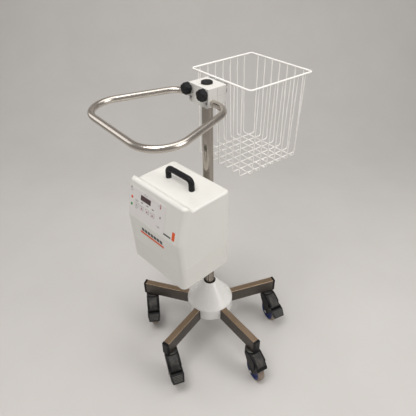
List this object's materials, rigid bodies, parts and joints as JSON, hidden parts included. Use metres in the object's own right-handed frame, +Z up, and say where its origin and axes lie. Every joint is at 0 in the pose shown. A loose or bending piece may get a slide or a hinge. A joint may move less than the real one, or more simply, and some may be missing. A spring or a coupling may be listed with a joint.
{
  "type": "forced-air patient warming unit on mobile stand",
  "caption": "Forced-air patient warming unit clamped to a pole on a five-star mobile stand, with braked casters, ring push handle and wire basket.",
  "frame": {"origin": "on the floor, under the middle of the whole object's outline (the pole axis stands 45.3 mm towards -X and 9.4 mm towards +Y of it)", "axes": "+Z up along the pole, -Y the side of the control panel and push handle, +X the user's right when facing the panel"},
  "size_m": [0.6541, 0.7047, 1.1872],
  "materials": {
    "white_plastic": "semi-gloss moulded",
    "white_block": "semi-gloss moulded",
    "cover_white": "glossy moulded cover",
    "black_plastic": "fine-grained moulded",
    "brushed_arm": "brushed lengthwise",
    "stainless": "satin stainless",
    "hub_steel": "grey paint",
    "zinc": "zinc plated",
    "wheel_rubber": "grey-tan tread on a blue hub",
    "white_wire": "white powder coat",
    "label": "printed polyester",
    "display": "dark red display window",
    "key_grey": "soft key",
    "bracket_metal": "anodised",
    "filter": "grille frame and pleated medium",
    "inner_plastic": "moulded",
    "motor_metal": "painted can",
    "heater_metal": "sheet",
    "board": "circuit board"
  },
  "bodies": {
    "stand": {"base_hub": "hub_steel", "hub_cover": "cover_white", "arm_right": "brushed_arm", "arm_rear_right": "brushed_arm", "arm_rear_left": "brushed_arm", "arm_left": "brushed_arm", "arm_front": "brushed_arm", "arm_end_caps": "black_plastic", "pole": "stainless", "pole_end_cap": "black_plastic", "caster_stems": "zinc", "clamp_lower_front": "white_block", "clamp_lower_rear": "white_block", "clamp_screws": "zinc", "ring_handle": "stainless"},
    "warming_unit": {"upper_housing": "white_plastic", "lower_housing": "white_plastic", "control_overlay": "label", "display_and_lamps": "display", "carry_handle": "black_plastic", "unit_screws": "zinc", "unit_bracket": "bracket_metal", "power_inlet": "black_plastic", "hose_socket": "inner_plastic", "filter_cartridge": "filter", "blower_motor": "motor_metal", "blower_housing": "inner_plastic", "heater": "heater_metal", "control_board": "board"},
    "basket_clamp": {"clamp_upper_front": "white_block", "clamp_upper_rear": "white_block", "basket_bracket": "zinc", "basket_rim": "white_wire", "basket_wires": "white_wire"},
    "clamp_knob_left": {"knob_left": "black_plastic"},
    "clamp_knob_right": {"knob_right": "black_plastic"},
    "height_knob": {"bracket_knob": "black_plastic"},
    "fan": {"impeller": "inner_plastic"},
    "key_standby_body": {"key_standby": "key_grey"},
    "key_low_body": {"key_low": "key_grey"},
    "key_medium_body": {"key_medium": "key_grey"},
    "key_high_body": {"key_high": "key_grey"},
    "caster_right": {"caster_fork_right": "black_plastic", "caster_axle_right": "zinc"},
    "wheel_right": {"caster_wheel_right": "wheel_rubber"},
    "caster_rear_right": {"caster_fork_rear_right": "black_plastic", "caster_axle_rear_right": "zinc"},
    "wheel_rear_right": {"caster_wheel_rear_right": "wheel_rubber"},
    "brake_rear_right": {"brake_pedal_rear_right": "black_plastic"},
    "caster_rear_left": {"caster_fork_rear_left": "black_plastic", "caster_axle_rear_left": "zinc"},
    "wheel_rear_left": {"caster_wheel_rear_left": "wheel_rubber"},
    "caster_left": {"caster_fork_left": "black_plastic", "caster_axle_left": "zinc"},
    "wheel_left": {"caster_wheel_left": "wheel_rubber"},
    "brake_left": {"brake_pedal_left": "black_plastic"},
    "caster_front": {"caster_fork_front": "black_plastic", "caster_axle_front": "zinc"},
    "wheel_front": {"caster_wheel_front": "wheel_rubber"},
    "brake_front": {"brake_pedal_front": "black_plastic"}
  },
  "joints": [
    {"name": "unit_height", "type": "slide", "parent": "stand", "child": "warming_unit", "axis": [0, 0, 1], "range_m": [-0.2, 0.12]},
    {"name": "basket_swivel", "type": "hinge", "parent": "stand", "child": "basket_clamp", "pos_m": [-0.0453, 0.0094, 1.1635], "axis": [0, 0, 1], "range_deg": [-7, 7]},
    {"name": "clamp_knob_left_turn", "type": "hinge", "parent": "basket_clamp", "child": "clamp_knob_left", "pos_m": [-0.08982, -0.03878, 1.1635], "axis": [-0.0901, -0.9959, 0], "range_deg": [0, 360]},
    {"name": "clamp_knob_right_turn", "type": "hinge", "parent": "basket_clamp", "child": "clamp_knob_right", "pos_m": [-0.01015, -0.04599, 1.1635], "axis": [-0.0901, -0.9959, 0], "range_deg": [0, 360]},
    {"name": "height_knob_turn", "type": "hinge", "parent": "warming_unit", "child": "height_knob", "pos_m": [-0.0003, 0.0094, 0.72], "axis": [1, 0, 0], "range_deg": [0, 360]},
    {"name": "fan_spin", "type": "hinge", "parent": "warming_unit", "child": "fan", "pos_m": [-0.0153, -0.1406, 0.592], "axis": [0, 0, 1], "continuous": true},
    {"name": "key_standby_press", "type": "slide", "parent": "warming_unit", "child": "key_standby_body", "axis": [0, 0.973, -0.2309], "range_m": [0, 0.0007], "stiffness_N_per_m": 900, "springref_m": -0.0005},
    {"name": "key_low_press", "type": "slide", "parent": "warming_unit", "child": "key_low_body", "axis": [0, 0.973, -0.2309], "range_m": [0, 0.0007], "stiffness_N_per_m": 900, "springref_m": -0.0005},
    {"name": "key_medium_press", "type": "slide", "parent": "warming_unit", "child": "key_medium_body", "axis": [0, 0.973, -0.2309], "range_m": [0, 0.0007], "stiffness_N_per_m": 900, "springref_m": -0.0005},
    {"name": "key_high_press", "type": "slide", "parent": "warming_unit", "child": "key_high_body", "axis": [0, 0.973, -0.2309], "range_m": [0, 0.0007], "stiffness_N_per_m": 900, "springref_m": -0.0005},
    {"name": "swivel_right", "type": "hinge", "parent": "stand", "child": "caster_right", "pos_m": [0.23673, -0.02398, 0.13], "axis": [0, 0, 1], "continuous": true},
    {"name": "roll_right", "type": "hinge", "parent": "caster_right", "child": "wheel_right", "pos_m": [0.27247, -0.03356, 0.05], "axis": [0.2588, 0.9659, 0], "continuous": true},
    {"name": "swivel_rear_right", "type": "hinge", "parent": "stand", "child": "caster_rear_right", "pos_m": [0.0736, 0.26731, 0.13], "axis": [0, 0, 1], "continuous": true},
    {"name": "roll_rear_right", "type": "hinge", "parent": "caster_rear_right", "child": "wheel_rear_right", "pos_m": [0.10898, 0.25649, 0.05], "axis": [0.2924, 0.9563, 0], "continuous": true},
    {"name": "brake_rear_right_press", "type": "hinge", "parent": "caster_rear_right", "child": "brake_rear_right", "pos_m": [0.14437, 0.24568, 0.1], "axis": [0.2924, 0.9563, 0], "range_deg": [0, 14]},
    {"name": "swivel_rear_left", "type": "hinge", "parent": "stand", "child": "caster_rear_left", "pos_m": [-0.25385, 0.20218, 0.13], "axis": [0, 0, 1], "continuous": true},
    {"name": "roll_rear_left", "type": "hinge", "parent": "caster_rear_left", "child": "wheel_rear_left", "pos_m": [-0.23535, 0.17014, 0.05], "axis": [0.866, 0.5, 0], "continuous": true},
    {"name": "swivel_left", "type": "hinge", "parent": "stand", "child": "caster_left", "pos_m": [-0.29309, -0.12937, 0.13], "axis": [0, 0, 1], "continuous": true},
    {"name": "roll_left", "type": "hinge", "parent": "caster_left", "child": "wheel_left", "pos_m": [-0.26315, -0.15112, 0.05], "axis": [0.5878, 0.809, 0], "continuous": true},
    {"name": "brake_left_press", "type": "hinge", "parent": "caster_left", "child": "brake_left", "pos_m": [-0.23322, -0.17286, 0.1], "axis": [0.5878, 0.809, 0], "range_deg": [0, 14]},
    {"name": "swivel_front", "type": "hinge", "parent": "stand", "child": "caster_front", "pos_m": [0.01011, -0.26914, 0.13], "axis": [0, 0, 1], "continuous": true},
    {"name": "roll_front", "type": "hinge", "parent": "caster_front", "child": "wheel_front", "pos_m": [0.04364, -0.28478, 0.05], "axis": [0.4226, 0.9063, 0], "continuous": true},
    {"name": "brake_front_press", "type": "hinge", "parent": "caster_front", "child": "brake_front", "pos_m": [0.07717, -0.30042, 0.1], "axis": [0.4226, 0.9063, 0], "range_deg": [0, 14]}
  ]
}
